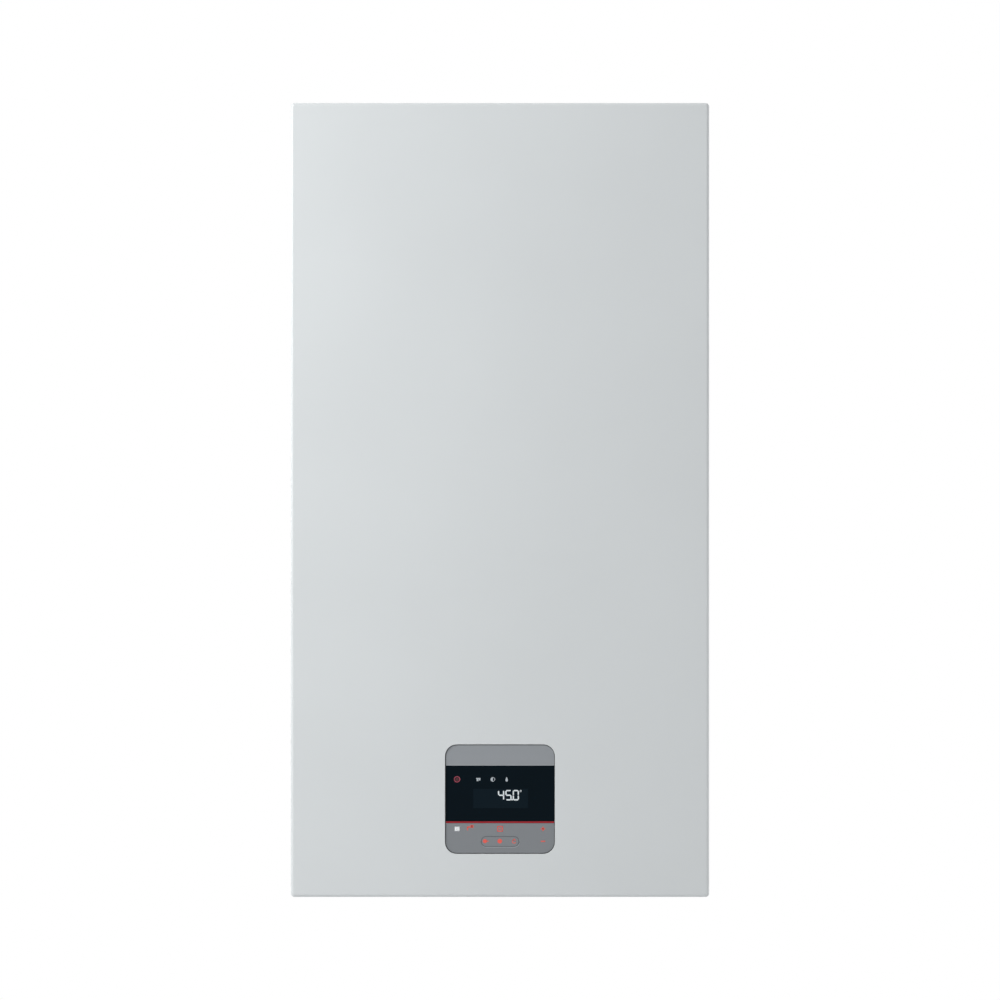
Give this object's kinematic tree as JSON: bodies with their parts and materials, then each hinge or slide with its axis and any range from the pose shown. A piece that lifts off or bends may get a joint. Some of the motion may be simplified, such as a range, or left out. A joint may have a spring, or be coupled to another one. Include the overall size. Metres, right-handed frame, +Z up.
{
  "type": "combi boiler",
  "caption": "Wall-hung gas combi boiler with a tall pale cover, a small square control panel, built-in hot-water tanks and a wall bracket.",
  "frame": {"origin": "middle of the wall bracket's rear face, level with its two screw holes", "axes": "+X to the right as seen from the room, +Y into the wall (the cover faces -Y), +Z up"},
  "size_m": [0.47, 0.57, 0.892],
  "materials": {
    "back_panel": "zinc-coated sheet",
    "wall_bracket": "zinc-coated sheet",
    "left_side_panel": "smooth pale grey-white powder coat",
    "right_side_panel": "smooth pale grey-white powder coat",
    "top_plate": "smooth pale grey-white powder coat",
    "base_plate": "zinc-coated sheet",
    "tank_shelf": "zinc-coated sheet",
    "exchanger_shelf": "zinc-coated sheet",
    "flue_adapter": "matte moulded plastic",
    "front_cover": "smooth pale grey-white powder coat",
    "cover_insulation": "fibre insulation mat",
    "cover_seal": "soft rubber",
    "panel_frame": "satin moulded plastic",
    "display_glass": "glossy dark display window",
    "accent_strip": "glossy moulded plastic",
    "electronics_box": "matte moulded plastic",
    "electronics_lid": "matte moulded plastic",
    "main_board": "printed circuit board",
    "cable_gland": "matte moulded plastic",
    "exchanger_housing": "bare stainless steel",
    "exchanger_coil": "bare stainless steel",
    "burner_door": "as cast",
    "burner_tube": "bare stainless steel",
    "ignition_electrode": "moulded plastic or ceramic",
    "mixing_duct": "as cast",
    "flue_pipe": "bare stainless steel",
    "condensate_hose": "soft rubber",
    "condensate_trap": "satin moulded plastic",
    "fan_housing": "as cast",
    "fan_impeller": "matte moulded plastic",
    "fan_motor": "matte moulded plastic",
    "air_gas_mixer": "as cast",
    "air_intake_pipe": "matte moulded plastic",
    "gas_valve": "as cast",
    "gas_pipe": "drawn copper tube",
    "heating_flow_pipe": "drawn copper tube",
    "heating_return_pipe": "drawn copper tube",
    "hot_water_pipe": "drawn copper tube",
    "cold_water_pipe": "drawn copper tube",
    "exchanger_flow_pipe": "drawn copper tube",
    "exchanger_return_pipe": "drawn copper tube",
    "tank_link_pipe": "drawn copper tube",
    "storage_tank_left": "bare stainless steel",
    "tank_jacket_left": "soft insulating foam",
    "storage_tank_right": "bare stainless steel",
    "tank_jacket_right": "soft insulating foam",
    "expansion_vessel": "satin paint",
    "vessel_hose": "soft rubber",
    "flow_block": "forged brass",
    "diverter_motor": "moulded plastic or ceramic",
    "diverter_spindle": "forged brass",
    "return_block": "forged brass",
    "pump_motor": "as cast",
    "pump_rotor": "bare stainless steel",
    "plate_heat_exchanger": "bare stainless steel",
    "charge_pump": "as cast",
    "charge_pipe": "drawn copper tube",
    "safety_valve": "forged brass",
    "safety_valve_knob": "glossy moulded plastic",
    "air_vent": "forged brass"
  },
  "bodies": {
    "boiler": {"back_panel": "back_panel", "wall_bracket": "wall_bracket", "left_side_panel": "left_side_panel", "right_side_panel": "right_side_panel", "top_plate": "top_plate", "base_plate": "base_plate", "tank_shelf": "tank_shelf", "exchanger_shelf": "exchanger_shelf", "flue_adapter": "flue_adapter", "panel_frame": "panel_frame", "display_glass": "display_glass", "accent_strip": "accent_strip", "electronics_box": "electronics_box", "electronics_lid": "electronics_lid", "main_board": "main_board", "cable_gland": "cable_gland", "exchanger_housing": "exchanger_housing", "exchanger_coil": "exchanger_coil", "burner_door": "burner_door", "burner_tube": "burner_tube", "ignition_electrode": "ignition_electrode", "mixing_duct": "mixing_duct", "flue_pipe": "flue_pipe", "condensate_hose": "condensate_hose", "condensate_trap": "condensate_trap", "fan_housing": "fan_housing", "fan_motor": "fan_motor", "air_gas_mixer": "air_gas_mixer", "air_intake_pipe": "air_intake_pipe", "gas_valve": "gas_valve", "gas_pipe": "gas_pipe", "heating_flow_pipe": "heating_flow_pipe", "heating_return_pipe": "heating_return_pipe", "hot_water_pipe": "hot_water_pipe", "cold_water_pipe": "cold_water_pipe", "exchanger_flow_pipe": "exchanger_flow_pipe", "exchanger_return_pipe": "exchanger_return_pipe", "tank_link_pipe": "tank_link_pipe", "storage_tank_left": "storage_tank_left", "tank_jacket_left": "tank_jacket_left", "storage_tank_right": "storage_tank_right", "tank_jacket_right": "tank_jacket_right", "expansion_vessel": "expansion_vessel", "vessel_hose": "vessel_hose", "flow_block": "flow_block", "diverter_motor": "diverter_motor", "return_block": "return_block", "pump_motor": "pump_motor", "plate_heat_exchanger": "plate_heat_exchanger", "charge_pump": "charge_pump", "charge_pipe": "charge_pipe", "safety_valve": "safety_valve", "air_vent": "air_vent"},
    "cover": {"front_cover": "front_cover", "cover_insulation": "cover_insulation", "cover_seal": "cover_seal"},
    "fan_wheel": {"fan_impeller": "fan_impeller"},
    "pump_rotor_body": {"pump_rotor": "pump_rotor"},
    "diverter_stem": {"diverter_spindle": "diverter_spindle"},
    "safety_knob": {"safety_valve_knob": "safety_valve_knob"}
  },
  "joints": [
    {"name": "cover_tilt", "type": "hinge", "parent": "boiler", "child": "cover", "pos_m": [0, -0.5294, 0.1014], "axis": [-1, 0, 0], "range_deg": [0, 20]},
    {"name": "fan_spin", "type": "hinge", "parent": "boiler", "child": "fan_wheel", "pos_m": [-0.166, -0.43793, -0.0988], "axis": [0, 0, 1], "continuous": true},
    {"name": "pump_spin", "type": "hinge", "parent": "boiler", "child": "pump_rotor_body", "pos_m": [0.1, -0.3865, -0.6853], "axis": [0, 1, 0], "continuous": true},
    {"name": "diverter_stroke", "type": "slide", "parent": "boiler", "child": "diverter_stem", "axis": [0, 0, 1], "range_m": [0, 0.007]},
    {"name": "safety_knob_turn", "type": "hinge", "parent": "boiler", "child": "safety_knob", "pos_m": [0.18, -0.34004, -0.6553], "axis": [1, 0, 0], "range_deg": [0, 90]}
  ]
}
